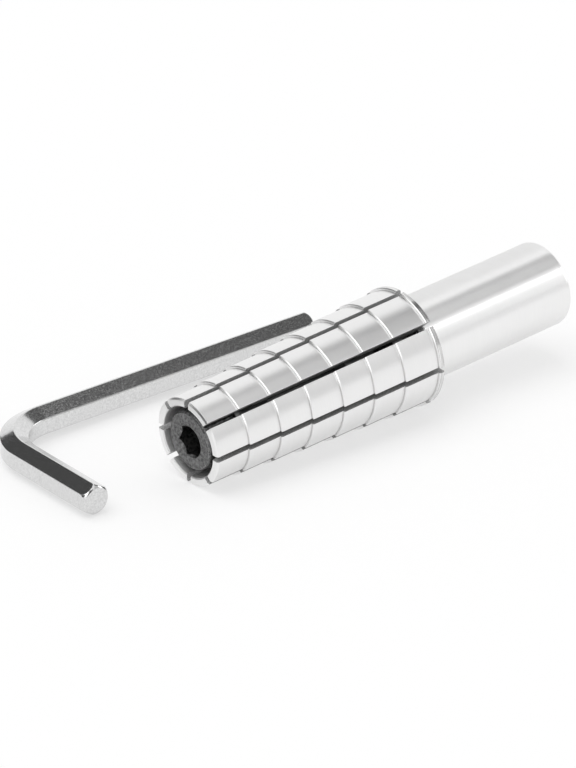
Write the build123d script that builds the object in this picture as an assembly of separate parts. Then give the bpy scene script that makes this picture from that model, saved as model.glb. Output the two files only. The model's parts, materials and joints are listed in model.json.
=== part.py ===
from build123d import *
from math import atan2, cos, degrees, pi, sin, sqrt
import os

# Ring stretcher: a stepped mandrel of eight steel jaws that a draw screw spreads, with its handle
# and its hexagon key. All sizes are millimetres. The stretcher is built about its own axis, with
# x = 0 at the tip's front face and x growing towards the handle, and is then laid on the table
# on its tip and its rear collar. The key lies beside it.

# ---- driving dimensions: stepped mandrel, jaws closed
step_count = 7
tip_diameter = 19.0
step_diameter_rise = 1.0
step_length = 7.85
last_step_length = 8.7
collar_rise = 0.5
collar_length = 1.25
tip_chamfer = 0.4
shoulder_chamfer = 0.42
rear_edge_chamfer = 0.18
relief_width = 0.3
relief_depth = 0.3
collar_rear_chamfer = 0.3

# ---- driving dimensions: jaws and wedges
jaw_count = 8
saw_cut = 0.85
jaw_travel = 0.75
wedge_slope = 0.2
tip_bore_diameter = 15.4
tip_bore_edge = 0.25
front_wedge_width = 13.8
front_wedge_length = 8.0
rear_wedge_small_width = 14.0
rear_wedge_length = 9.0
rear_wedge_start = 36.0
sleeve_diameter = 10.4
sleeve_room = 0.9

# ---- driving dimensions: draw screw (M8) and what rides on it
screw_diameter = 8.0
screw_length = 60.0
screw_end_room = 4.0
head_diameter = 13.0
head_height = 8.0
head_recess = 0.5
head_chamfer = 0.6
socket_width = 6.06
socket_depth = 5.0
socket_turn = 47.5
socket_lead_margin = 0.05
screw_end_chamfer = 1.0
washer_diameter = 14.2
washer_thickness = 1.2
clip_thickness = 0.7
clip_wall = 1.3
clip_groove_depth = 0.4
clip_opening = 2.4

# ---- driving dimensions: handle, jaw carrier, pins and retaining ring
handle_diameter = 18.4
overall_length = 96.4
handle_rear_radius = 0.9
handle_front_chamfer = 0.25
flange_diameter = 14.0
flange_thickness = 2.6
neck_diameter = 11.2
neck_length = 4.4
spigot_diameter = 12.0
spigot_length = 18.0
pin_diameter = 1.5
pin_circle = 11.5
pin_count = 2
pin_seat_depth = 2.2
pin_grip = 1.5
ring_thickness = 0.8
ring_width = 1.4
ring_seat_depth = 0.5
ring_opening = 2.0
jaw_lip_wall = 1.0

# ---- driving dimension: how far the stretcher has rolled about its axis, towards -Y
lying_turn = 2.3

# ---- driving dimensions: hexagon key
key_width = 6.0
key_long_arm = 86.0
key_short_arm = 38.4
key_bend_radius = 12.0
key_end_diameter = 5.5
key_ahead = 22.7
key_beside = 36.5
key_yaw = -1.0

# ---- clearances
screw_clearance = 0.08
wedge_bore_clearance = 0.2
wedge_gap = 0.08
slide_gap = 0.1
face_gap = 0.05
press_gap = 0.01
side_clearance = 0.15

# ---- sizes worked out from the above
draw_travel = jaw_travel / wedge_slope
tip_radius = tip_diameter / 2
radius_per_step = step_diameter_rise / 2
collar_radius = tip_radius + radius_per_step * (step_count - 1) + collar_rise
last_shoulder = tip_chamfer + step_length * (step_count - 1) + last_step_length
jaw_end = last_shoulder + collar_length
handle_front = jaw_end + face_gap
head_bearing = head_recess + head_height
front_wedge_start = head_bearing + washer_thickness
front_seat_start = front_wedge_start + draw_travel + side_clearance
front_wedge_end = front_wedge_start + front_wedge_length
rear_wedge_end = rear_wedge_start + rear_wedge_length
rear_wedge_width = rear_wedge_small_width + 2 * wedge_slope * rear_wedge_length
rear_seat_start = rear_wedge_start + draw_travel + side_clearance
clip_start = rear_wedge_end + face_gap
flange_start = handle_front - neck_length - flange_thickness
flange_back = handle_front - neck_length
ring_inner_radius = neck_diameter / 2 + slide_gap + jaw_lip_wall + jaw_travel + slide_gap
ring_outer_radius = ring_inner_radius + ring_thickness


def across(x):
    """Plane square to the stretcher's axis at x, seen from the handle, with its own x along +Y."""
    return Plane.YZ.offset(x)


def rod(diameter, start, end):
    """Round bar along the axis."""
    return extrude(across(start) * Circle(diameter / 2), end - start)


def turned(points):
    """Solid of revolution from (x, radius) points; the outline closes along the axis."""
    first, last = points[0], points[-1]
    outline = Polyline((first[0], 0), *points, (last[0], 0), close=True)
    return revolve(Plane.XZ * make_face(outline), Axis.X, 360)


def octagon_taper(start, end, start_width, end_width):
    """Eight-sided bar along the axis, with its corners in line with the saw cuts."""
    front = across(start) * RegularPolygon(start_width / 2, jaw_count, major_radius=False)
    back = across(end) * RegularPolygon(end_width / 2, jaw_count, major_radius=False)
    return loft([front.face(), back.face()], ruled=True)


def front_wedge_width_at(x):
    return front_wedge_width - 2 * wedge_slope * (x - front_wedge_start)


def rear_wedge_width_at(x):
    return rear_wedge_width - 2 * wedge_slope * (x - rear_wedge_start)


def stepped_outline():
    """The mandrel's outside from tip to collar: each land ends in a relief, then a chamfer up."""
    points = [(0, tip_radius - tip_chamfer), (tip_chamfer, tip_radius)]
    half = relief_width / 2
    for step in range(1, step_count + 1):
        radius = tip_radius + radius_per_step * (step - 1)
        last = step == step_count
        shoulder = last_shoulder if last else tip_chamfer + step_length * step
        next_radius = collar_radius if last else radius + radius_per_step
        points.append((shoulder - half - rear_edge_chamfer, radius))
        points.append((shoulder - half, radius - rear_edge_chamfer))
        points.append((shoulder - half, radius - relief_depth))
        points.append((shoulder + half, radius - relief_depth))
        points.append((shoulder + half, next_radius - shoulder_chamfer))
        points.append((shoulder + half + shoulder_chamfer, next_radius))
    points.append((jaw_end - collar_rear_chamfer, collar_radius))
    points.append((jaw_end, collar_radius - collar_rear_chamfer))
    return points


def tip_bore():
    """Round bore in the tip that the screw head and the washer go down, with a broken edge."""
    bore = rod(tip_bore_diameter, 0, front_seat_start)
    edge_radius = tip_bore_diameter / 2 + tip_bore_edge
    edge = turned([(0, edge_radius), (tip_bore_edge, tip_bore_diameter / 2)])
    return bore + edge


def wedge_room():
    """Eight-sided hollow that the wedges and the sleeve slide in, with the two tapered seats."""
    room = 2 * wedge_gap
    sleeve_width = sleeve_diameter + 2 * sleeve_room
    pocket_width = rear_wedge_width + 2 * side_clearance
    seat_end = front_wedge_end + side_clearance
    rear_seat_end = rear_wedge_end + side_clearance
    front_seat = octagon_taper(
        front_seat_start,
        seat_end,
        front_wedge_width_at(front_seat_start) + room,
        front_wedge_width_at(seat_end) + room,
    )
    rear_seat = octagon_taper(
        rear_seat_start,
        rear_seat_end,
        rear_wedge_width_at(rear_seat_start) + room,
        rear_wedge_width_at(rear_seat_end) + room,
    )
    pocket_start = rear_wedge_start - side_clearance
    middle = octagon_taper(seat_end, pocket_start, sleeve_width, sleeve_width)
    pocket = octagon_taper(pocket_start, rear_seat_start, pocket_width, pocket_width)
    return front_seat + middle + pocket + rear_seat


def carrier_room():
    """Hollow at the jaws' rear: a chamber for the rear wedge and the flange, then the lips' bore."""
    chamber_start = rear_wedge_end + side_clearance
    chamber_end = flange_back + face_gap
    chamber_width = max(flange_diameter, rear_wedge_small_width) + 2 * side_clearance
    chamber = octagon_taper(chamber_start, chamber_end, chamber_width, chamber_width)
    lip_bore = rod(neck_diameter + 2 * slide_gap, chamber_end, jaw_end)
    groove_depth = ring_width - ring_seat_depth + face_gap
    groove_start = jaw_end - groove_depth
    inner = ring_inner_radius - jaw_travel - slide_gap
    outer = ring_outer_radius + slide_gap
    groove = rod(2 * outer, groove_start, jaw_end) - rod(2 * inner, groove_start, jaw_end)
    return chamber + lip_bore + groove


def make_jaws():
    """Turns the mandrel in one piece, hollows it, and saws it into jaws, from the top onwards."""
    blank = turned(stepped_outline())
    blank -= tip_bore()
    blank -= wedge_room()
    blank -= carrier_room()
    size = blank.bounding_box().size
    for cut in range(jaw_count // 2):
        saw = Box(3 * size.X, saw_cut, 2 * size.Z)
        blank -= Rot(X=360 / jaw_count * cut) * saw
    jaws = blank.solids()
    return sorted(jaws, key=lambda jaw: turn_from_top(jaw.center()))


def turn_from_top(point):
    """Angle of a point about the stretcher's axis, from straight up and towards +Y."""
    return degrees(atan2(point.Y, point.Z)) % 360


def make_front_wedge():
    body = octagon_taper(
        front_wedge_start,
        front_wedge_end,
        front_wedge_width,
        front_wedge_width_at(front_wedge_end),
    )
    bore = screw_diameter + 2 * wedge_bore_clearance
    return body - rod(bore, front_wedge_start, front_wedge_end)


def make_rear_wedge():
    body = octagon_taper(
        rear_wedge_start,
        rear_wedge_end,
        rear_wedge_width,
        rear_wedge_small_width,
    )
    bore = screw_diameter + 2 * wedge_bore_clearance
    body -= rod(bore, rear_wedge_start, rear_wedge_end)
    hole_start = pin_front() - draw_travel - side_clearance
    for place in pin_places():
        body -= place * rod(pin_diameter + 2 * slide_gap, hole_start, rear_wedge_end)
    return body


def make_sleeve():
    """Tube round the screw that keeps the two wedges apart."""
    bore = screw_diameter + 2 * wedge_bore_clearance
    tube = rod(sleeve_diameter, front_wedge_end, rear_wedge_start)
    return tube - rod(bore, front_wedge_end, rear_wedge_start)


def make_washer():
    bore = screw_diameter + 2 * wedge_bore_clearance
    disc = rod(washer_diameter, head_bearing, front_wedge_start)
    return disc - rod(bore, head_bearing, front_wedge_start)


def make_draw_screw():
    """Socket head cap screw: round head, hexagon socket, and a shank grooved for its clip."""
    head_radius = head_diameter / 2
    shank_radius = screw_diameter / 2
    groove_radius = shank_radius - clip_groove_depth
    clip_end = clip_start + clip_thickness
    screw_end = head_bearing + screw_length
    body = turned([
        (head_recess, head_radius - head_chamfer),
        (head_recess + head_chamfer, head_radius),
        (head_bearing, head_radius),
        (head_bearing, shank_radius),
        (clip_start, shank_radius),
        (clip_start, groove_radius),
        (clip_end, groove_radius),
        (clip_end, shank_radius),
        (screw_end - screw_end_chamfer, shank_radius),
        (screw_end, shank_radius - screw_end_chamfer),
    ])
    hexagon = RegularPolygon(socket_width / 2, 6, major_radius=False, rotation=socket_turn)
    body -= extrude(across(head_recess) * hexagon, socket_depth)
    rim = socket_width / sqrt(3) + socket_lead_margin
    throat = socket_width / 2 - socket_lead_margin
    body -= turned([(head_recess, rim), (head_recess + rim - throat, throat)])
    return body


def make_release_clip():
    """Snap ring behind the rear wedge, which draws the wedges forward as the screw comes out."""
    inner = screw_diameter / 2 - clip_groove_depth
    outer = inner + clip_wall
    clip_end = clip_start + clip_thickness
    ring = rod(2 * outer, clip_start, clip_end) - rod(2 * inner, clip_start, clip_end)
    return ring - notch(clip_opening, outer, clip_start, clip_end)


def notch(width, radius, start, end):
    """Block that opens a ring of the given radius at its top."""
    block = Box(end - start, width, radius, align=(Align.MIN, Align.CENTER, Align.MIN))
    return Pos(X=start) * block


def make_jaw_carrier():
    """Hub pressed in the handle: a flange that holds the jaws' lips, a neck, a tapped spigot."""
    spigot_end = handle_front + spigot_length
    body = rod(flange_diameter, flange_start, flange_back)
    body += rod(neck_diameter, flange_back, handle_front)
    body += rod(spigot_diameter, handle_front, spigot_end)
    body -= rod(screw_diameter + 2 * screw_clearance, flange_start, spigot_end)
    for place in pin_places():
        hole_end = flange_start + pin_seat_depth
        body -= place * rod(pin_diameter + 2 * press_gap, flange_start, hole_end)
    return body


def pin_places():
    """Offsets of the guide pins from the axis, level with the stretcher's sides."""
    spots = []
    for pin in range(pin_count):
        angle = pi / 2 + 2 * pi * pin / pin_count
        spots.append(Pos(0, pin_circle / 2 * sin(angle), pin_circle / 2 * cos(angle)))
    return spots


def pin_front():
    return rear_wedge_end - pin_grip


def make_guide_pins():
    """Dowels pressed in the carrier's flange; the rear wedge slides on them and can't turn."""
    pin = rod(pin_diameter, pin_front(), flange_start + pin_seat_depth)
    return [place * pin for place in pin_places()]


def make_retaining_ring():
    """Split ring round the jaws' rear lips: it stops them at full spread and keeps them in."""
    ring_start = handle_front + ring_seat_depth - ring_width
    ring_end = handle_front + ring_seat_depth
    ring = rod(2 * ring_outer_radius, ring_start, ring_end)
    ring -= rod(2 * ring_inner_radius, ring_start, ring_end)
    return ring - notch(ring_opening, ring_outer_radius, ring_start, ring_end)


def make_handle():
    """Plain round handle, bored for the carrier and recessed for the retaining ring."""
    bar = rod(handle_diameter, handle_front, overall_length)
    rims = bar.edges().filter_by(GeomType.CIRCLE).sort_by(Axis.X)
    bar = chamfer(rims[0], handle_front_chamfer)
    rims = bar.edges().filter_by(GeomType.CIRCLE).sort_by(Axis.X)
    bar = fillet(rims[-1], handle_rear_radius)
    bar -= rod(spigot_diameter + 2 * press_gap, handle_front, handle_front + spigot_length)
    bore_end = head_bearing + screw_length + draw_travel + screw_end_room
    bar -= rod(screw_diameter + 2 * screw_clearance, handle_front, bore_end)
    recess_end = handle_front + ring_seat_depth
    recess = rod(2 * (ring_outer_radius + press_gap), handle_front, recess_end)
    recess -= rod(2 * (ring_inner_radius - press_gap), handle_front, recess_end)
    return bar - recess


def key_end_cutter():
    """What is turned away from an arm's end that points along +Z from the origin."""
    corner = key_width / sqrt(3)
    flat = key_end_diameter / 2
    depth = corner - flat
    outline = Polyline(
        (flat, 0),
        (corner + depth, 0),
        (corner + depth, -2 * depth),
        close=True,
    )
    return revolve(Plane.XZ * make_face(outline), Axis.Z, 360)


def make_hex_key():
    """Bent hexagon bar with its corner at the origin, long arm along +X, short arm along -Y."""
    long_end = key_long_arm - key_width / 2
    short_end = key_short_arm - key_width / 2
    path = FilletPolyline((long_end, 0), (0, 0), (0, -short_end), radius=key_bend_radius)
    section_plane = Plane(origin=(long_end, 0, 0), x_dir=(0, 0, 1), z_dir=(-1, 0, 0))
    section = section_plane * RegularPolygon(key_width / 2, 6, major_radius=False)
    bar = sweep(section, path=path)
    cutter = key_end_cutter()
    bar -= Pos(X=long_end) * Rot(Y=90) * cutter
    bar -= Pos(Y=-short_end) * Rot(X=90) * cutter
    return bar


def lying_tilt():
    """Tilt at which the tip's edge and the shoulder that stands furthest out meet the table."""
    corners = [(x - tip_chamfer, radius - tip_radius) for x, radius in stepped_outline()[2:]]
    return max(degrees(atan2(rise, run)) for run, rise in corners)


def lay_down(piece):
    """Rolls the stretcher, then tips it about its tip's edge until a shoulder meets the table."""
    rolled = Rot(X=lying_turn) * piece
    return Rot(Y=-lying_tilt()) * Pos(-tip_chamfer, 0, tip_radius) * rolled


def lay_key(piece):
    """Puts the key beside the stretcher, lying on the edges of its arms."""
    return Pos(-key_ahead, key_beside, key_width / sqrt(3)) * Rot(Z=key_yaw) * piece


def make_everything():
    pieces = {
        "handle": make_handle(),
        "jaw_carrier": make_jaw_carrier(),
        "retaining_ring": make_retaining_ring(),
        "front_wedge": make_front_wedge(),
        "wedge_sleeve": make_sleeve(),
        "rear_wedge": make_rear_wedge(),
        "thrust_washer": make_washer(),
        "draw_screw": make_draw_screw(),
        "release_clip": make_release_clip(),
    }
    for number, jaw in enumerate(make_jaws(), start=1):
        pieces[f"jaw_{number}"] = jaw
    for number, pin in enumerate(make_guide_pins(), start=1):
        pieces[f"guide_pin_{number}"] = pin
    lying = {name: lay_down(piece) for name, piece in pieces.items()}
    lying["hex_key"] = lay_key(make_hex_key())
    return lying


everything = make_everything()
whole = Compound([piece.solid() for piece in everything.values()])
box = whole.bounding_box()
to_origin = Pos(-(box.min.X + box.max.X) / 2, -(box.min.Y + box.max.Y) / 2, -box.min.Z)

os.makedirs("parts", exist_ok=True)
for name, piece in everything.items():
    export_step(to_origin * piece.solid(), f"parts/{name}.step")
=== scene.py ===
import json
import math

import bpy
from mathutils import Matrix, Vector


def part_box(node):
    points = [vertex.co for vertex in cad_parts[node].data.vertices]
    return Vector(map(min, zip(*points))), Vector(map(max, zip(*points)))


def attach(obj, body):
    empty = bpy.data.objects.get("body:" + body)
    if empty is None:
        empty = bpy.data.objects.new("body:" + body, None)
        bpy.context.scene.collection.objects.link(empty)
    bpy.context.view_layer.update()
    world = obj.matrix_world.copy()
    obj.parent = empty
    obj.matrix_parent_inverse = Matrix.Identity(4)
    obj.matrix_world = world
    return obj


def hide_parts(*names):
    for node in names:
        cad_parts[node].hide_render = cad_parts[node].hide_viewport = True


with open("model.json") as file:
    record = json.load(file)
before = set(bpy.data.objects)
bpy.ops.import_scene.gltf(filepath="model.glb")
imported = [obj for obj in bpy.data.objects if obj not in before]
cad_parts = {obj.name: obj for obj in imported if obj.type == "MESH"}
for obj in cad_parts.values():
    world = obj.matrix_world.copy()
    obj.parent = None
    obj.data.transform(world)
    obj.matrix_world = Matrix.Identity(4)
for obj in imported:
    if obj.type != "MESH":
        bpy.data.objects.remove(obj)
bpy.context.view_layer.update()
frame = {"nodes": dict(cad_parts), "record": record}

# the ring stretcher and its key, in metres, with their sizes written as millimetres times MM
MM = 0.001
SIXTH_TURN = math.pi / 3
JAW_PREFIX = "jaw_"

# ---- what the frame says of the joints, the jaws, the steps and the handle
record = frame["record"]
mounts = {mount["name"]: mount for mount in record["mounts"]}
joints = {joint["name"]: joint for joint in record["behaviour"]["joints"]}
jaw_names = sorted(node for node in frame["nodes"]
                   if node.startswith(JAW_PREFIX) and node[len(JAW_PREFIX):].isdigit())
jaw_count = len(jaw_names)
step_names = sorted(name for name in mounts if name.startswith("ring_step_"))
handle_radius = mounts["handle_shank"]["dims"]["r_mm"] * MM
jaw_travel = joints["jaw_1_spread"]["range_m"][1]

# ---- the stretcher's own axes: x along it towards the handle, z through the top saw cut
along = Vector(joints["wedge_draw"]["axis"]).normalized()
first_way = Vector(joints["jaw_1_spread"]["axis"])
last_way = Vector(joints[f"jaw_{jaw_count}_spread"]["axis"])
upward = (first_way + last_way).normalized()
sideways = upward.cross(along).normalized()

# ---- sizes that the frame doesn't give, as in the part's source
TIP_CHAMFER = 0.4 * MM
SHOULDER_CHAMFER = 0.42 * MM
REAR_EDGE_CHAMFER = 0.18 * MM
COLLAR_RISE = 0.5 * MM
COLLAR_LENGTH = 1.25 * MM
COLLAR_REAR_CHAMFER = 0.3 * MM
FACE_GAP = 0.05 * MM
TIP_BORE = 7.7 * MM
TIP_BORE_EDGE = 0.25 * MM
WEDGE_SLOPE = 0.2
# a seat: where it starts and ends along the stretcher, and half its width at its end
FRONT_SEAT = (13.6 * MM, 17.85 * MM, 5.35 * MM)
REAR_SEAT = (39.9 * MM, 45.15 * MM, 7.05 * MM)
SLEEVE_HALF = 6.1 * MM
POCKET_START = 35.85 * MM
POCKET_HALF = 8.95 * MM
CHAMBER_HALF = 7.15 * MM
LIP_RADIUS = 5.7 * MM
LIP_LENGTH = 4.3 * MM
RING_INNER = 7.55 * MM
RING_OUTER = 8.35 * MM
RING_SEAT_DEPTH = 0.5 * MM
RING_GROOVE_DEPTH = 0.95 * MM
RING_GROOVE_SPARE = 0.1 * MM
HANDLE_FRONT_CHAMFER = 0.25 * MM
HANDLE_REAR_RADIUS = 0.9 * MM
SPIGOT_RADIUS = 6.01 * MM
SPIGOT_LENGTH = 18.0 * MM
SCREW_BORE = 4.08 * MM
SCREW_RADIUS = 4.0 * MM
SCREW_LENGTH = 60.0 * MM
SCREW_PITCH = 1.25 * MM
SCREW_END_ROOM = 4.0 * MM
HEAD_RECESS = 0.5 * MM
HEAD_RADIUS = 6.5 * MM
HEAD_HEIGHT = 8.0 * MM
HEAD_CHAMFER = 0.6 * MM
SOCKET_FLAT = 3.03 * MM
SOCKET_DEPTH = 5.0 * MM
SOCKET_TURN = math.radians(42.5)
KEY_FLAT = 3.0 * MM
KEY_BEND = 12.0 * MM
KEY_LONG = 83.0 * MM
KEY_SHORT = 35.4 * MM
KEY_YAW = math.radians(-1.0)

# ---- not as in the part's source: wider saw cuts, a shorter tip chamfer and sharper steps
SAW_CUT = 1.2 * MM
TIP_CHAMFER_RUN = 0.33 * MM
STEP_FOOT = 0.19 * MM
STEP_RUN = 0.2 * MM
STEP_RISE = 0.12 * MM
STEP_GROOVE = 0.1 * MM

# ---- where the lands of the steps start and end along the stretcher
first_land = mounts["ring_step_1"]
first_half = first_land["dims"]["length_mm"] * MM / 2
tip = Vector(first_land["pos_m"]) - along * (first_half + TIP_CHAMFER)
lands = []
for step in step_names:
    middle = (Vector(mounts[step]["pos_m"]) - tip).dot(along)
    half_length = mounts[step]["dims"]["length_mm"] * MM / 2
    lands.append((middle - half_length, middle + half_length, mounts[step]["dims"]["r_mm"] * MM))
relief_width = lands[1][0] - SHOULDER_CHAMFER - lands[0][1] - REAR_EDGE_CHAMFER
shoulders = [land[1] + REAR_EDGE_CHAMFER + relief_width / 2 for land in lands]
jaw_end = shoulders[-1] + COLLAR_LENGTH
handle_front = jaw_end + FACE_GAP
handle_end = (Vector(mounts["handle_end"]["pos_m"]) - tip).dot(along)
collar_radius = lands[-1][2] + COLLAR_RISE


def place(x, radius, turn):
    """Point at x along the stretcher and a radius from its axis, turned from upward to sideways."""
    return tip + along * x + (upward * math.cos(turn) + sideways * math.sin(turn)) * radius


# ==== mesh helpers

SOFT_EDGE = 0.05 * MM
SOFT_STEPS = 3
EDGE_SUPPORT = 0.04 * MM
SHARP_ANGLE = math.radians(24)
LEAST_TURN = math.radians(12)
CUT_SHARE = 0.25
SUPPORT_SHARE = 0.2


def soften(points):
    """Rounds the corners of an open outline, and keeps its straight runs flat beside them."""
    out = [Vector(points[0])]
    for before, corner, after in zip(points, points[1:], points[2:]):
        before, corner, after = Vector(before), Vector(corner), Vector(after)
        way_in, way_out = corner - before, after - corner
        turn = way_in.angle(way_out)
        if turn < LEAST_TURN:
            out.append(corner)
            continue
        run_in, run_out = way_in.length, way_out.length
        cut = min(SOFT_EDGE * math.tan(turn / 2), CUT_SHARE * run_in, CUT_SHARE * run_out)
        support = min(EDGE_SUPPORT, SUPPORT_SHARE * run_in, SUPPORT_SHARE * run_out)
        start = corner - way_in.normalized() * cut
        end = corner + way_out.normalized() * cut
        out.append(start - way_in.normalized() * support)
        for step in range(SOFT_STEPS + 1):
            t = step / SOFT_STEPS
            out.append(start * (1 - t) ** 2 + corner * 2 * t * (1 - t) + end * t ** 2)
        out.append(end + way_out.normalized() * support)
    out.append(Vector(points[-1]))
    return [(point.x, point.y) for point in out]


def make_object(name, points, faces, kinds, materials, flat=()):
    """Mesh object from points and faces, with a material per face and its sharp edges marked."""
    mesh = bpy.data.meshes.new(name)
    mesh.from_pydata([tuple(point) for point in points], [], faces)
    for material in materials:
        mesh.materials.append(material)
    mesh.polygons.foreach_set("material_index", kinds)
    mesh.polygons.foreach_set("use_smooth", [True] * len(faces))
    mesh.set_sharp_from_angle(angle=SHARP_ANGLE)
    for face in flat:
        mesh.polygons[face].use_smooth = False
    mesh.update()
    piece = bpy.data.objects.new(name, mesh)
    bpy.context.scene.collection.objects.link(piece)
    return piece


def ring_faces(rings, count):
    """Faces between rings of count points each and over both ends, and which faces those ends are."""
    faces = []
    for ring in range(rings - 1):
        for row in range(count):
            following = (row + 1) % count
            here, there = ring * count, (ring + 1) * count
            faces.append((here + row, here + following, there + following, there + row))
    faces.append(tuple(reversed(range(count))))
    faces.append(tuple((rings - 1) * count + row for row in range(count)))
    return faces, (len(faces) - 2, len(faces) - 1)


def spin(name, outline_at, columns, materials, kind_at=lambda row: 0):
    """Piece turned about the stretcher's axis; its outline runs from the axis round to the axis."""
    outlines = [outline_at(2 * math.pi * column / columns) for column in range(columns)]
    rows = len(outlines[0])
    points = [place(outlines[0][0][0], 0, 0)]
    for column, outline in enumerate(outlines):
        turn = 2 * math.pi * column / columns
        points += [place(x, radius, turn) for x, radius in outline[1:-1]]
    points.append(place(outlines[0][-1][0], 0, 0))
    inner = rows - 2
    faces, kinds = [], []
    for column in range(columns):
        here = 1 + column * inner
        there = 1 + (column + 1) % columns * inner
        faces.append((0, here, there))
        kinds.append(kind_at(0))
        for row in range(inner - 1):
            faces.append((here + row, here + row + 1, there + row + 1, there + row))
            kinds.append(kind_at(row + 1))
        faces.append((here + inner - 1, len(points) - 1, there + inner - 1))
        kinds.append(kind_at(inner))
    return make_object(name, points, faces, kinds, materials)


# ==== materials

NOISE_MIDDLE = (0.3, 0.7)
WHITE = (1.0, 1.0, 1.0)


def new_material(name):
    """A new material, its nodes, its links and the Principled shader on its output."""
    material = bpy.data.materials.new(name)
    material.use_nodes = True
    nodes, links = material.node_tree.nodes, material.node_tree.links
    nodes.clear()
    output = nodes.new("ShaderNodeOutputMaterial")
    shader = nodes.new("ShaderNodeBsdfPrincipled")
    links.new(shader.outputs[0], output.inputs[0])
    return material, nodes, links, shader


def stretcher_coordinates(nodes, links, scale):
    """Object coordinates along the stretcher's own axes, each divided by its scale."""
    coordinates = nodes.new("ShaderNodeTexCoord")
    mapping = nodes.new("ShaderNodeMapping")
    mapping.vector_type = "TEXTURE"
    mapping.inputs["Location"].default_value = tip
    turned = Matrix((along, sideways, upward)).transposed()
    mapping.inputs["Rotation"].default_value = turned.to_euler()
    mapping.inputs["Scale"].default_value = scale
    links.new(coordinates.outputs["Object"], mapping.inputs["Vector"])
    return mapping.outputs["Vector"]


def add_noise(nodes, links, vector, scale, detail, roughness=0.5):
    """Noise texture's value at the coordinates given."""
    texture = nodes.new("ShaderNodeTexNoise")
    texture.inputs["Scale"].default_value = scale
    texture.inputs["Detail"].default_value = detail
    texture.inputs["Roughness"].default_value = roughness
    links.new(vector, texture.inputs["Vector"])
    return texture.outputs["Fac"]


def spread(nodes, links, value, low, high):
    """Maps a noise texture's middle range to low and high."""
    node = nodes.new("ShaderNodeMapRange")
    node.inputs["From Min"].default_value = NOISE_MIDDLE[0]
    node.inputs["From Max"].default_value = NOISE_MIDDLE[1]
    node.inputs["To Min"].default_value = low
    node.inputs["To Max"].default_value = high
    links.new(value, node.inputs["Value"])
    return node.outputs["Result"]


def grey(nodes, links, value, tint=WHITE):
    """Colour of a tint times a value."""
    node = nodes.new("ShaderNodeVectorMath")
    node.operation = "SCALE"
    node.inputs[0].default_value = tint
    links.new(value, node.inputs["Scale"])
    return node.outputs["Vector"]


def add_bump(nodes, links, shader, height, distance):
    """Bumps the shader's surface by a texture's value, over the distance given."""
    bump = nodes.new("ShaderNodeBump")
    bump.inputs["Distance"].default_value = distance
    bump.inputs["Strength"].default_value = 1.0
    links.new(height, bump.inputs["Height"])
    links.new(bump.outputs["Normal"], shader.inputs["Normal"])


MARK_WIDTH = 0.2 * MM
MARK_LENGTH = 6 * MM
BLOTCH_SIZE = 3 * MM
STEEL_TINT = (1.0, 0.998, 0.995)
# how far the roughness varies either way
GLOSS_SPREAD = 0.012


def turned_steel(name, levels, roughness, anisotropy, groove_depth):
    """Bright steel with fine marks round the stretcher's axis, which stretch its highlights along it."""
    material, nodes, links, shader = new_material(name)
    marks = stretcher_coordinates(nodes, links, (MARK_WIDTH, MARK_LENGTH, MARK_LENGTH))
    lines = add_noise(nodes, links, marks, scale=1.0, detail=2.0, roughness=0.6)
    blotches = stretcher_coordinates(nodes, links, (BLOTCH_SIZE,) * 3)
    broad = add_noise(nodes, links, blotches, scale=1.0, detail=2.0)
    colour = spread(nodes, links, lines, *levels)
    links.new(grey(nodes, links, colour, STEEL_TINT), shader.inputs["Base Color"])
    gloss = spread(nodes, links, broad, roughness - GLOSS_SPREAD, roughness + GLOSS_SPREAD)
    links.new(gloss, shader.inputs["Roughness"])
    shader.inputs["Metallic"].default_value = 1.0
    shader.inputs["Anisotropic"].default_value = anisotropy
    tangent = nodes.new("ShaderNodeCombineXYZ")
    for axis, value in zip("XYZ", along):
        tangent.inputs[axis].default_value = value
    links.new(tangent.outputs["Vector"], shader.inputs["Tangent"])
    add_bump(nodes, links, shader, lines, groove_depth)
    return material


def grained_metal(name, levels, roughness, haze, grain, depth, metallic=1.0):
    """Metal whose colour, gloss and surface vary in fine grains: sawn, blackened or plated."""
    material, nodes, links, shader = new_material(name)
    coordinates = nodes.new("ShaderNodeTexCoord").outputs["Object"]
    fine = add_noise(nodes, links, coordinates, scale=1 / grain, detail=3.0, roughness=0.65)
    links.new(grey(nodes, links, spread(nodes, links, fine, *levels)), shader.inputs["Base Color"])
    links.new(spread(nodes, links, fine, roughness, roughness + haze), shader.inputs["Roughness"])
    shader.inputs["Metallic"].default_value = metallic
    add_bump(nodes, links, shader, fine, depth)
    return material


polished = turned_steel(
    "polished_steel", levels=(0.85, 0.87), roughness=0.295, anisotropy=0.35, groove_depth=0.00004 * MM)
handle_steel = turned_steel(
    "handle_steel", levels=(0.9, 0.92), roughness=0.295, anisotropy=0.95, groove_depth=0.00004 * MM)
collar = turned_steel(
    "collar_steel", levels=(0.45, 0.95), roughness=0.16, anisotropy=0.2, groove_depth=0.004 * MM)
bored = turned_steel(
    "bored_steel", levels=(0.7, 0.95), roughness=0.55, anisotropy=0.3, groove_depth=0.001 * MM)
sawn = grained_metal(
    "sawn_steel", levels=(0.28, 0.66), roughness=0.45, haze=0.15, grain=0.25 * MM, depth=0.03 * MM,
    metallic=0.4)
blackened = grained_metal(
    "black_oxide", levels=(0.04, 0.25), roughness=0.32, haze=0.12, grain=0.6 * MM, depth=0.01 * MM)
# a lighter black oxide, used only on the first band of the rounded rim of the screw's head
light_rim_oxide = grained_metal(
    "worn_black_oxide", levels=(0.06, 0.4), roughness=0.3, haze=0.1, grain=0.5 * MM, depth=0.006 * MM)
plated = grained_metal(
    "plated_steel", levels=(0.6, 0.78), roughness=0.06, haze=0.16, grain=0.35 * MM, depth=0.0015 * MM)
hardened = grained_metal(
    "hardened_steel", levels=(0.16, 0.26), roughness=0.35, haze=0.1, grain=0.1 * MM, depth=0.003 * MM)


# ==== the jaws

SAW_EDGE = 0.04 * MM
JAW_COLUMNS = 30
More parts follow.
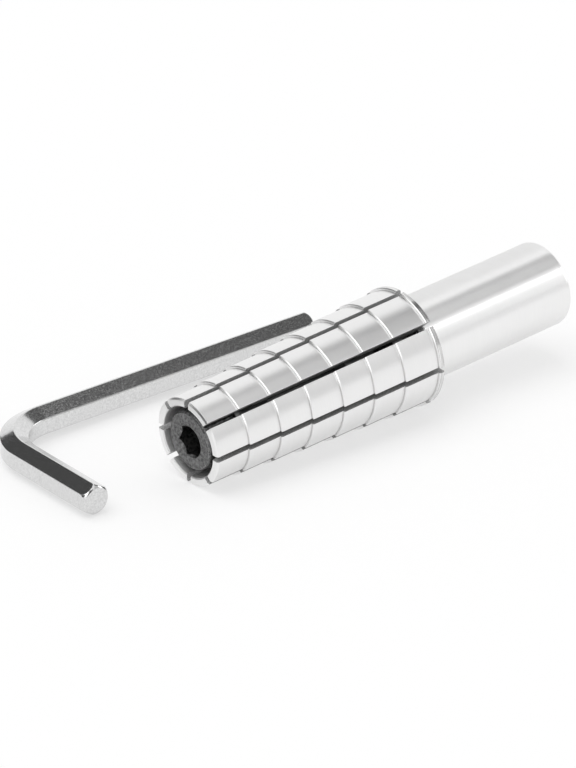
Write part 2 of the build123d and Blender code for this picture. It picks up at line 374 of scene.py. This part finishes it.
# a jaw's finishes, by the numbers of its material slots
POLISHED, SAWN, BORED, COLLAR = range(4)
collar_start = shoulders[-1] - STEP_FOOT + STEP_RUN / 2
jaw_share = 2 * math.pi / jaw_count


def mandrel_outline():
    """Outside of the mandrel, from the edge of the tip's bore to the ring's groove in the rear face."""
    radii = [land[2] for land in lands] + [collar_radius]
    points = [
        (0, TIP_BORE + TIP_BORE_EDGE),
        (0, radii[0] - TIP_CHAMFER),
        (TIP_CHAMFER_RUN, radii[0]),
    ]
    for shoulder, radius, next_radius in zip(shoulders, radii, radii[1:]):
        foot = shoulder - STEP_FOOT
        points += [
            (foot - STEP_GROOVE, radius),
            (foot - STEP_GROOVE, radius - STEP_GROOVE),
            (foot, radius - STEP_GROOVE),
            (foot, next_radius - STEP_RISE),
            (foot + STEP_RUN, next_radius),
        ]
    points += [
        (jaw_end - COLLAR_REAR_CHAMFER, collar_radius),
        (jaw_end, collar_radius - COLLAR_REAR_CHAMFER),
        (jaw_end, RING_OUTER + RING_GROOVE_SPARE),
    ]
    return points


def jaw_inside():
    """Inside of a jaw from its rear face to its tip, as (x, distance from the axis, flat or not)."""
    groove = jaw_end - RING_GROOVE_DEPTH
    groove_inner = RING_INNER - jaw_travel - RING_GROOVE_SPARE
    groove_outer = RING_OUTER + RING_GROOVE_SPARE
    chamber_end = jaw_end - LIP_LENGTH
    front_start, front_end, front_half = FRONT_SEAT
    rear_start, rear_end, rear_half = REAR_SEAT
    front_rise = WEDGE_SLOPE * (front_end - front_start)
    rear_rise = WEDGE_SLOPE * (rear_end - rear_start)
    return [
        (groove, groove_outer, False),
        (groove, groove_inner, False),
        (jaw_end, groove_inner, False),
        (jaw_end, LIP_RADIUS, False),
        (chamber_end, LIP_RADIUS, False),
        (chamber_end, CHAMBER_HALF, True),
        (rear_end, CHAMBER_HALF, True),
        (rear_end, rear_half, True),
        (rear_start, rear_half + rear_rise, True),
        (rear_start, POCKET_HALF, True),
        (POCKET_START, POCKET_HALF, True),
        (POCKET_START, SLEEVE_HALF, True),
        (front_end, SLEEVE_HALF, True),
        (front_end, front_half, True),
        (front_start, front_half + front_rise, True),
        (front_start, TIP_BORE, False),
        (TIP_BORE_EDGE, TIP_BORE, False),
    ]


def kind_of(row, following):
    """Turned outside, collar and bored wall have their own finish, and the rest is as sawn."""
    x, distance, _, outside = row
    next_x, next_distance, _, next_outside = following
    if outside and next_outside:
        return COLLAR if min(x, next_x) > collar_start else POLISHED
    in_bore = max(x, next_x) <= FRONT_SEAT[0] and max(distance, next_distance) < lands[0][2]
    return BORED if in_bore else SAWN


def make_jaw(name, number):
    """One sawn jaw: its outline runs round the section, and its columns run from cut to cut."""
    half_share = jaw_share / 2
    middle = jaw_share * (number + 0.5)
    # each row: x, distance from the axis, on a flat or not, outside or not
    rows = [(x, radius, False, True) for x, radius in soften(mandrel_outline())]
    rows += [(x, distance, flat, False) for x, distance, flat in jaw_inside()]
    # each column: the room left for the cuts, how much lower its outside is, and where it is
    # from one cut, at -1, to the other, at 1
    cut_wall = SAW_CUT / 2
    edge_end = cut_wall + SAW_EDGE
    columns = [(cut_wall, SAW_EDGE, -1)]
    columns += [(edge_end, 0, 2 * column / JAW_COLUMNS - 1) for column in range(JAW_COLUMNS + 1)]
    columns += [(cut_wall, SAW_EDGE, 1)]
    points = []
    for offset, shrink, share in columns:
        for x, distance, flat, outside in rows:
            reach = distance - (shrink if outside else 0)
            if flat:
                limit = (reach * math.sin(half_share) - offset) / math.cos(half_share)
                turn = math.atan2(share * limit, reach)
                points.append(place(x, math.hypot(share * limit, reach), middle + turn))
            else:
                limit = half_share - math.asin(offset / reach)
                points.append(place(x, reach, middle + share * limit))
    faces, caps = ring_faces(len(columns), len(rows))
    strip_kinds = [kind_of(row, following) for row, following in zip(rows, rows[1:] + rows[:1])]
    kinds = strip_kinds * (len(columns) - 1) + [SAWN] * len(caps)
    piece = make_object(name + "_body", points, faces, kinds, [polished, sawn, bored, collar], caps)
    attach(piece, name)
    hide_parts(name)


for number, name in enumerate(jaw_names):
    make_jaw(name, number)


# ==== the handle

HANDLE_COLUMNS = 240
ROUNDING_STEPS = 8


def handle_outline():
    """From the end of the screw's bore, out over the front face and the barrel, to the rear face."""
    screw_end = HEAD_RECESS + HEAD_HEIGHT + SCREW_LENGTH
    bore_end = screw_end + joints["wedge_draw"]["range_m"][1] + SCREW_END_ROOM
    spigot_end = handle_front + SPIGOT_LENGTH
    recess_end = handle_front + RING_SEAT_DEPTH
    points = [
        (bore_end, 0),
        (bore_end, SCREW_BORE),
        (spigot_end, SCREW_BORE),
        (spigot_end, SPIGOT_RADIUS),
        (handle_front, SPIGOT_RADIUS),
        (handle_front, RING_INNER),
        (recess_end, RING_INNER),
        (recess_end, RING_OUTER),
        (handle_front, RING_OUTER),
        (handle_front, handle_radius - HANDLE_FRONT_CHAMFER),
        (handle_front + HANDLE_FRONT_CHAMFER, handle_radius),
        (handle_end - HANDLE_REAR_RADIUS - EDGE_SUPPORT, handle_radius),
    ]
    points = soften(points)
    points.append((handle_end - HANDLE_REAR_RADIUS, handle_radius))
    for step in range(1, ROUNDING_STEPS + 1):
        angle = math.pi / 2 * step / ROUNDING_STEPS
        x = handle_end - HANDLE_REAR_RADIUS * (1 - math.sin(angle))
        points.append((x, handle_radius - HANDLE_REAR_RADIUS * (1 - math.cos(angle))))
    points.append((handle_end, handle_radius - HANDLE_REAR_RADIUS - EDGE_SUPPORT))
    points.append((handle_end, 0))
    return points


def make_handle():
    """The handle: a turned bar with bores and the retaining ring's seat in its front."""
    outline = handle_outline()
    piece = spin("handle_bar", lambda turn: outline, HANDLE_COLUMNS, [handle_steel])
    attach(piece, "handle")
    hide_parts("handle")


make_handle()


# ==== the draw screw

KNURL_TEETH = 60
KNURL_DEPTH = 0.12 * MM
COLUMNS_PER_TOOTH = 4
SCREW_COLUMNS = KNURL_TEETH * COLUMNS_PER_TOOTH
SOCKET_RIM_SPARE = 0.05 * MM
HEAD_EDGE_STEPS = 4
HEAD_REAR_CHAMFER = HEAD_CHAMFER / 2
THREAD_START = 46.5 * MM
THREAD_DEPTH = 0.7 * MM
THREAD_ROWS = 10
THREAD_FLANK = 1.25
SCREW_END_CHAMFER = 1.0 * MM
CLIP_START = 45.05 * MM
CLIP_END = 45.75 * MM
CLIP_GROOVE = 3.6 * MM


def hexagon_reach(turn):
    """Distance from the axis to the socket's wall, whose corners stand at its own turn."""
    half = SIXTH_TURN / 2
    off_middle = (turn - SOCKET_TURN + half) % SIXTH_TURN - half
    return SOCKET_FLAT / math.cos(half - abs(off_middle))


def screw_outline(turn):
    """From the socket's floor, over its rim and the knurled head, along the thread to the end."""
    rim = SOCKET_FLAT / math.cos(SIXTH_TURN / 2) + SOCKET_RIM_SPARE
    wall = hexagon_reach(turn)
    floor = HEAD_RECESS + SOCKET_DEPTH
    bearing = HEAD_RECESS + HEAD_HEIGHT
    end = bearing + SCREW_LENGTH
    tooth = (turn / (2 * math.pi) * KNURL_TEETH) % 1
    side = HEAD_RADIUS - KNURL_DEPTH * (1 - abs(2 * tooth - 1))
    points = [
        (floor, 0),
        (floor, wall - EDGE_SUPPORT),
        (floor, wall),
        (HEAD_RECESS + rim - wall, wall),
        (HEAD_RECESS, rim),
        (HEAD_RECESS, rim + EDGE_SUPPORT),
        (HEAD_RECESS, HEAD_RADIUS - HEAD_CHAMFER - EDGE_SUPPORT),
        (HEAD_RECESS, HEAD_RADIUS - HEAD_CHAMFER),
    ]
    for step in range(1, HEAD_EDGE_STEPS):
        angle = math.pi / 2 * step / HEAD_EDGE_STEPS
        x = HEAD_RECESS + HEAD_CHAMFER * (1 - math.cos(angle))
        points.append((x, HEAD_RADIUS - KNURL_DEPTH - HEAD_CHAMFER * (1 - math.sin(angle))))
    points += [
        (HEAD_RECESS + HEAD_CHAMFER, side),
        (bearing - HEAD_REAR_CHAMFER, side),
        (bearing, HEAD_RADIUS - HEAD_REAR_CHAMFER),
        (bearing, SCREW_RADIUS),
        (CLIP_START, SCREW_RADIUS),
        (CLIP_START, CLIP_GROOVE),
        (CLIP_END, CLIP_GROOVE),
        (CLIP_END, SCREW_RADIUS),
        (THREAD_START, SCREW_RADIUS),
    ]
    thread_rows = round((end - THREAD_START) / SCREW_PITCH * THREAD_ROWS)
    for row in range(1, thread_rows + 1):
        x = THREAD_START + SCREW_PITCH * row / THREAD_ROWS
        phase = (row / THREAD_ROWS - turn / (2 * math.pi)) % 1
        cut = max(0.0, 1 - abs(2 * phase - 1) * THREAD_FLANK)
        lead_in = min(1.0, row / THREAD_ROWS)
        tail = min(0.0, (end - x) - SCREW_END_CHAMFER)
        radius = min(SCREW_RADIUS - THREAD_DEPTH * cut * lead_in, SCREW_RADIUS + tail)
        points.append((min(x, end), radius))
    points.append((end, 0))
    return points


# the band of the screw's outline that is coloured lighter: the first of the rounded edge round its head
LIGHT_RIM_BAND = 7


def make_draw_screw():
    """The screw, whose head's outer edge is coloured lighter."""
    finishes = [blackened, light_rim_oxide]
    piece = spin("draw_screw_body", screw_outline, SCREW_COLUMNS, finishes,
                 lambda row: int(row == LIGHT_RIM_BAND))
    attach(piece, "screw")
    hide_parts("draw_screw")


make_draw_screw()


# ==== the hexagon key

KEY_CORNER = 0.35 * MM
KEY_CORNER_STEPS = 4
KEY_FLAT_STEPS = 12
KEY_FLAT_SUPPORT = EDGE_SUPPORT * 2
KEY_CORNER_REACH = (KEY_FLAT - KEY_CORNER) / math.cos(SIXTH_TURN / 2)
KEY_BEND_STEPS = 40
# the rounded ends: their steps, their length along the key and the radius left at the face
KEY_END_STEPS = 12
KEY_END_LENGTH = 1.3 * MM
KEY_END = 2.3 * MM


def key_section():
    """Points round the key's hexagon, flats to the sides and corners up and down, all rounded."""
    corners = []
    for corner in range(6):
        angle = SIXTH_TURN * corner + math.pi / 2
        centre = Vector((math.cos(angle), math.sin(angle))) * KEY_CORNER_REACH
        for step in range(KEY_CORNER_STEPS + 1):
            turn = angle + SIXTH_TURN * (step / KEY_CORNER_STEPS - 0.5)
            corners.append(centre + Vector((math.cos(turn), math.sin(turn))) * KEY_CORNER)
    section = []
    for here, there in zip(corners, corners[1:] + corners[:1]):
        section.append(here)
        if (there - here).length > KEY_FLAT / 2:
            way = (there - here).normalized() * KEY_FLAT_SUPPORT
            start, end = here + way, there - way
            section += [start.lerp(end, step / KEY_FLAT_STEPS) for step in range(KEY_FLAT_STEPS + 1)]
    return section


def key_end():
    """Depths from the key's end, and how far from its middle its rounded end reaches there."""
    corner_reach = KEY_CORNER_REACH + KEY_CORNER
    steps = []
    for step in range(KEY_END_STEPS + 1):
        angle = math.pi / 2 * step / KEY_END_STEPS
        limit = KEY_END + (corner_reach - KEY_END) * math.sin(angle)
        steps.append((KEY_END_LENGTH * (1 - math.cos(angle)), limit))
    return steps


def key_stations():
    """Spots along the key's middle line from its long arm's end to its short arm's, each with the
    way on and how far from the middle its section may reach, or None."""
    stations = []
    for depth, limit in key_end():
        stations.append((Vector((KEY_LONG - depth, 0, 0)), Vector((-1, 0, 0)), limit))
    stations.append((Vector((KEY_BEND + EDGE_SUPPORT, 0, 0)), Vector((-1, 0, 0)), None))
    centre = Vector((KEY_BEND, -KEY_BEND, 0))
    for step in range(KEY_BEND_STEPS + 1):
        angle = math.pi / 2 * step / KEY_BEND_STEPS
        spot = centre + Vector((-math.sin(angle), math.cos(angle), 0)) * KEY_BEND
        stations.append((spot, Vector((-math.cos(angle), -math.sin(angle), 0)), None))
    stations.append((Vector((0, -KEY_BEND - EDGE_SUPPORT, 0)), Vector((0, -1, 0)), None))
    for depth, limit in reversed(key_end()):
        stations.append((Vector((0, depth - KEY_SHORT, 0)), Vector((0, -1, 0)), limit))
    return stations


def make_hex_key():
    """The bent key, set by its box in the frame."""
    lowest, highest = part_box("hex_key")
    turned = Matrix.Rotation(KEY_YAW, 3, "Z")
    corners = [Vector((KEY_LONG, y, 0)) for y in (-KEY_FLAT, KEY_FLAT)]
    corners += [Vector((x, -KEY_SHORT, 0)) for x in (-KEY_FLAT, KEY_FLAT)]
    corners = [turned @ corner for corner in corners]
    right = max(corner.x for corner in corners)
    near = min(corner.y for corner in corners)
    origin = Vector((highest.x - right, lowest.y - near, (lowest.z + highest.z) / 2))
    stations = key_stations()
    section = key_section()
    points = []
    for spot, way, limit in stations:
        across = Vector((-way.y, way.x, 0))
        for point in section:
            reach = point.length if limit is None else min(point.length, limit)
            point = point.normalized() * reach
            local = spot + across * point.x + Vector((0, 0, point.y))
            points.append(origin + turned @ local)
    faces, caps = ring_faces(len(stations), len(section))
    piece = make_object("hex_key_bar", points, faces, [0] * len(faces), [plated], caps)
    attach(piece, "hex_key")
    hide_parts("hex_key")


make_hex_key()


# ==== the pieces inside keep their shapes, and get their finish

HARDENED_NODES = ("jaw_carrier", "retaining_ring", "guide_pin_1", "guide_pin_2", "front_wedge",
                  "wedge_sleeve", "rear_wedge", "thrust_washer")
inner_finishes = [(node, hardened) for node in HARDENED_NODES] + [("release_clip", blackened)]
for node, finish in inner_finishes:
    slots = frame["nodes"][node].data.materials
    slots.clear()
    slots.append(finish)


# ==== floor, cards, lamp and camera

FLOOR_HALF = 5.0
FLOOR_LEVEL = 0.8
FLOOR_GLOW = 0.52
WORLD_DIFFUSE = 0.7
SUN_SHARE = 0.3
SUN_DIRECTION = Vector((-0.25, 0.2, 0.9)).normalized()
SUN_ANGLE = math.radians(55)
CARD_DISTANCE = 1.5
CARD_STEPS = 12
overhead = (Vector((0, 0, 1)) - along * along.z).normalized()
nearside = along.cross(overhead)


def seen_rays(nodes, links):
    """One for camera, glossy and transmission rays, and none for the rest."""
    path = nodes.new("ShaderNodeLightPath")
    first = nodes.new("ShaderNodeMath")
    first.operation = "MAXIMUM"
    links.new(path.outputs["Is Camera Ray"], first.inputs[0])
    links.new(path.outputs["Is Glossy Ray"], first.inputs[1])
    second = nodes.new("ShaderNodeMath")
    second.operation = "MAXIMUM"
    links.new(first.outputs[0], second.inputs[0])
    links.new(path.outputs["Is Transmission Ray"], second.inputs[1])
    return second.outputs[0]


def level_for_rays(nodes, links, hidden, seen):
    """One level for the rays that light the object, and another for those that show what is behind."""
    level = nodes.new("ShaderNodeMapRange")
    level.inputs["To Min"].default_value = hidden
    level.inputs["To Max"].default_value = seen
    links.new(seen_rays(nodes, links), level.inputs["Value"])
    return level.outputs["Result"]


def make_floor():
    """White floor whose own faint glow, for seen rays alone, keeps the object's shadow light."""
    corners = [(-FLOOR_HALF, -FLOOR_HALF, 0), (FLOOR_HALF, -FLOOR_HALF, 0)]
    corners += [(FLOOR_HALF, FLOOR_HALF, 0), (-FLOOR_HALF, FLOOR_HALF, 0)]
    material, nodes, links, shader = new_material("floor_white")
    links.new(level_for_rays(nodes, links, FLOOR_LEVEL, 1 - FLOOR_GLOW), shader.inputs["Base Color"])
    shader.inputs["Roughness"].default_value = 1.0
    shader.inputs["Specular IOR Level"].default_value = 0.0
    shader.inputs["Emission Color"].default_value = (1, 1, 1, 1)
    links.new(level_for_rays(nodes, links, 0.0, FLOOR_GLOW), shader.inputs["Emission Strength"])
    floor = make_object("floor", corners, [(0, 1, 2, 3)], [0], [material])


def make_world():
    """White surroundings, shown at full level and lighting the object at a lower one."""
    world = bpy.data.worlds.new("studio")
    bpy.context.scene.world = world
    world.use_nodes = True
    nodes, links = world.node_tree.nodes, world.node_tree.links
    background = nodes["Background"]
    background.inputs["Color"].default_value = (1, 1, 1, 1)
    links.new(level_for_rays(nodes, links, WORLD_DIFFUSE, 1.0), background.inputs["Strength"])


def make_card(name, around, lean, level, distance=CARD_DISTANCE):
    """Curved studio card that only glossy surfaces see, over two ranges of degrees: around the
    stretcher's axis, from overhead towards the camera's side, and leaning towards the handle."""
    points = []
    for row in range(CARD_STEPS + 1):
        tilt = math.radians(lean[0] + (lean[1] - lean[0]) * row / CARD_STEPS)
        for column in range(CARD_STEPS + 1):
            turn = math.radians(around[0] + (around[1] - around[0]) * column / CARD_STEPS)
            radial = overhead * math.cos(turn) + nearside * math.sin(turn)
            points.append((radial * math.cos(tilt) + along * math.sin(tilt)) * distance)
    faces = []
    for row in range(CARD_STEPS):
        for column in range(CARD_STEPS):
            corner = row * (CARD_STEPS + 1) + column
            faces.append((corner, corner + 1, corner + CARD_STEPS + 2, corner + CARD_STEPS + 1))
    material = bpy.data.materials.new(name)
    material.use_nodes = True
    nodes, links = material.node_tree.nodes, material.node_tree.links
    nodes.clear()
    output = nodes.new("ShaderNodeOutputMaterial")
    glow = nodes.new("ShaderNodeEmission")
    glow.inputs["Strength"].default_value = level
    links.new(glow.outputs[0], output.inputs[0])
    card = make_object(name, points, faces, [0] * len(faces), [material])
    card.visible_camera = False
    card.visible_diffuse = False
    card.visible_transmission = False
    card.visible_volume_scatter = False
    card.visible_shadow = False


def make_sun():
    """Broad soft light from behind and above; with the world it lights white up to white."""
    sun = bpy.data.lights.new("soft_sun", "SUN")
    sun.angle = SUN_ANGLE
    sun.energy = SUN_SHARE * math.pi / SUN_DIRECTION.z
    holder = bpy.data.objects.new("soft_sun", sun)
    bpy.context.scene.collection.objects.link(holder)
    holder.rotation_mode = "QUATERNION"
    holder.rotation_quaternion = SUN_DIRECTION.to_track_quat("Z", "Y")
    holder.visible_glossy = False


CAMERA_AZIMUTH = math.radians(-40.19)
CAMERA_ELEVATION = math.radians(26.35)
CAMERA_DISTANCE = 1068.7 * MM
CAMERA_TARGET = Vector((8.95 * MM, 8.62 * MM, 0))
CAMERA_LENS = 240.3
CAMERA_SENSOR = 36
CAMERA_SIGHT = 20


def make_camera():
    """Camera at the photograph's viewing angle."""
    data = bpy.data.cameras.new("camera")
    data.sensor_width = CAMERA_SENSOR
    data.lens = CAMERA_LENS
    data.clip_end = CAMERA_SIGHT
    camera = bpy.data.objects.new("camera", data)
    bpy.context.scene.collection.objects.link(camera)
    back = Vector((
        math.sin(CAMERA_AZIMUTH) * math.cos(CAMERA_ELEVATION),
        -math.cos(CAMERA_AZIMUTH) * math.cos(CAMERA_ELEVATION),
        math.sin(CAMERA_ELEVATION),
    ))
    camera.location = CAMERA_TARGET + back * CAMERA_DISTANCE
    camera.rotation_mode = "QUATERNION"
    camera.rotation_quaternion = (-back).to_track_quat("-Z", "Y")
    bpy.context.scene.camera = camera


make_floor()
make_world()
# what the bright steel mirrors: where two cards overlap, the nearer one hides the other
make_card("card_band", around=(-14, 29), lean=(35, 57), level=0.12)
make_card("card_band_edge", around=(-14, 29), lean=(32, 35), level=0.45)
make_card("card_key", around=(-5, 6), lean=(29.5, 36), level=0.13, distance=1.45)
make_card("card_grey", around=(26, 80), lean=(22, 45), level=0.6, distance=1.6)
make_card("card_strip", around=(37, 49), lean=(48, 72), level=5.0)
make_card("card_strip_low", around=(49, 84), lean=(48, 72), level=2.4)
make_card("card_far_side", around=(-100, -24), lean=(-30, 9), level=0.08)
make_card("card_near_side", around=(58, 88), lean=(-14, 14), level=0.1)
make_card("card_camera_side", around=(-80, 42), lean=(-78, -44), level=0.05)
make_card("card_front", around=(-16, 72), lean=(-43, -14), level=1.9)
make_sun()
make_camera()

bpy.context.scene.view_settings.view_transform = "Standard"
